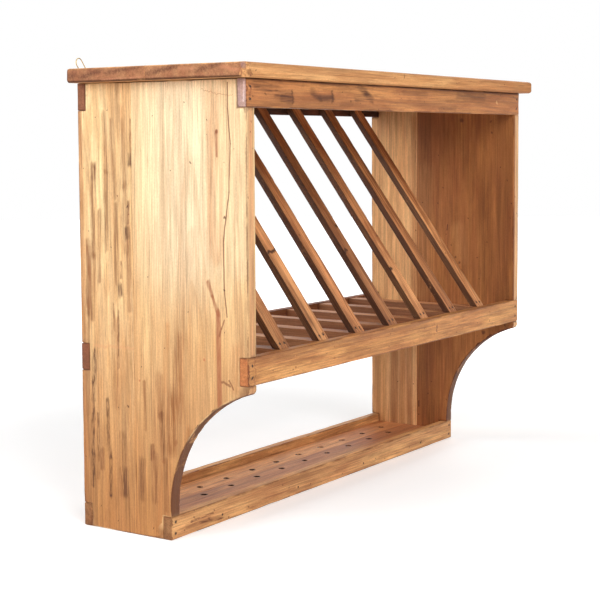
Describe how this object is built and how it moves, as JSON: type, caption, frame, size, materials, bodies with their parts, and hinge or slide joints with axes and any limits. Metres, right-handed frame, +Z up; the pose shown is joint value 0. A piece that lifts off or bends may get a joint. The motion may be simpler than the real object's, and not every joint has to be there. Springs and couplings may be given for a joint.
{
  "type": "wall plate rack",
  "caption": "Pine plate rack for a wall or worktop: sloping slats over level base slats hold plates upright, above an open bay with a drained tray, under a deep top board.",
  "frame": {"origin": "centre of the box of the whole rack in X and Y, at the base that stands on a worktop", "axes": "+X across the rack to the right as seen from the front, -Y out of the open front, +Y into the wall, +Z up"},
  "size_m": [0.96, 0.338, 0.7355],
  "materials": {
    "pine_pale": "old pale pine, waxed, with streaks, knots and filled nail holes",
    "pine_honey": "honey-coloured old pine, waxed and worn",
    "pine_brown": "reddish brown old pine, waxed and worn, darker in the corners",
    "pine_greyed": "old pine, greyed by water, waxed",
    "nail_iron": "dark, rusted iron",
    "wire_brass": "dull brass wire"
  },
  "bodies": {
    "root": {"top_board_front": "pine_brown", "top_board_back": "pine_brown", "side_left_front": "pine_pale", "side_left_back": "pine_honey", "side_right_front": "pine_pale", "side_right_back": "pine_honey", "rail_top_front": "pine_brown", "rail_top_back": "pine_brown", "rail_middle_front": "pine_honey", "rail_middle_back": "pine_honey", "rail_low_front": "pine_honey", "rail_low_back": "pine_honey", "plate_slat_1": "pine_honey", "plate_slat_2": "pine_honey", "plate_slat_3": "pine_honey", "plate_slat_4": "pine_honey", "plate_slat_5": "pine_honey", "plate_slat_6": "pine_honey", "plate_slat_7": "pine_honey", "base_slat_1": "pine_brown", "base_slat_2": "pine_brown", "base_slat_3": "pine_brown", "base_slat_4": "pine_brown", "base_slat_5": "pine_brown", "base_slat_6": "pine_brown", "base_slat_7": "pine_brown", "tray_board_front": "pine_greyed", "tray_board_back": "pine_honey", "nails_rails_front": "nail_iron", "nails_rails_back": "nail_iron", "nails_slat_feet": "nail_iron", "nails_slat_heads": "nail_iron", "nails_base_front": "nail_iron", "nails_base_back": "nail_iron", "nails_tray": "nail_iron", "nails_top": "nail_iron", "hanging_loop_left": "wire_brass", "hanging_loop_right": "wire_brass", "loop_screw_left": "nail_iron", "loop_screw_right": "nail_iron"}
  },
  "joints": []
}
